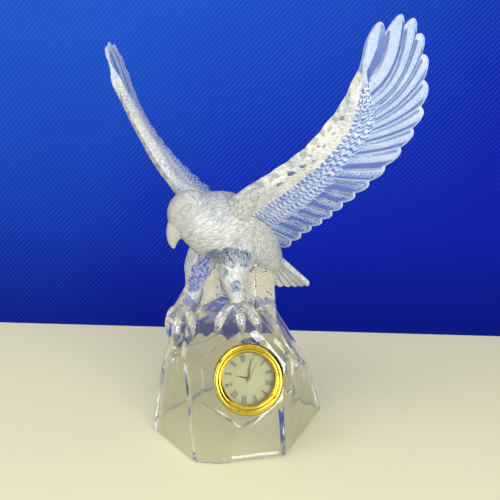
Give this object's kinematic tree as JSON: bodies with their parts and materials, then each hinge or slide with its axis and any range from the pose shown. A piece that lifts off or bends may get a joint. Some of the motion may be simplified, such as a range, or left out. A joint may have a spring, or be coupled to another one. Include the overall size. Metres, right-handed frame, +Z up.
{
  "type": "crystal eagle figurine with clock",
  "caption": "Frosted crystal eagle with raised wings, landing on a faceted clear crystal rock that holds a small round gold-rimmed clock.",
  "frame": {"origin": "middle of the whole figurine's box, level with the table that it stands on", "axes": "+Z up, -Y towards the viewer of the clock, +X to the viewer's right"},
  "size_m": [0.165, 0.1326, 0.2202],
  "materials": {
    "crystal": "pressed lead crystal, clear on the rock and legs, satin frosted on the eagle",
    "gold": "polished gold plate",
    "dial": "matt cream with printed numerals",
    "lens": "clear polished",
    "case": "moulded grey"
  },
  "bodies": {
    "root": {"crystal_eagle": "crystal", "clock_case": "case", "clock_rim": "gold", "clock_lens": "lens", "clock_dial": "dial"},
    "hour_hand": {"hour_hand": "gold"},
    "minute_hand": {"minute_hand": "gold"},
    "second_hand": {"second_hand": "gold"}
  },
  "joints": [
    {"name": "minute_turn", "type": "hinge", "parent": "root", "child": "minute_hand", "pos_m": [0.00335, -0.04361, 0.042], "axis": [0, 0.9397, -0.342], "continuous": true},
    {"name": "hour_turn", "type": "hinge", "parent": "root", "child": "hour_hand", "pos_m": [0.00335, -0.04361, 0.042], "axis": [0, 0.9397, -0.342], "continuous": true},
    {"name": "second_turn", "type": "hinge", "parent": "root", "child": "second_hand", "pos_m": [0.00335, -0.04361, 0.042], "axis": [0, 0.9397, -0.342], "continuous": true}
  ],
  "couplings": [
    {"joint": "hour_turn", "follows": "minute_turn", "ratio": 0.083333}
  ]
}
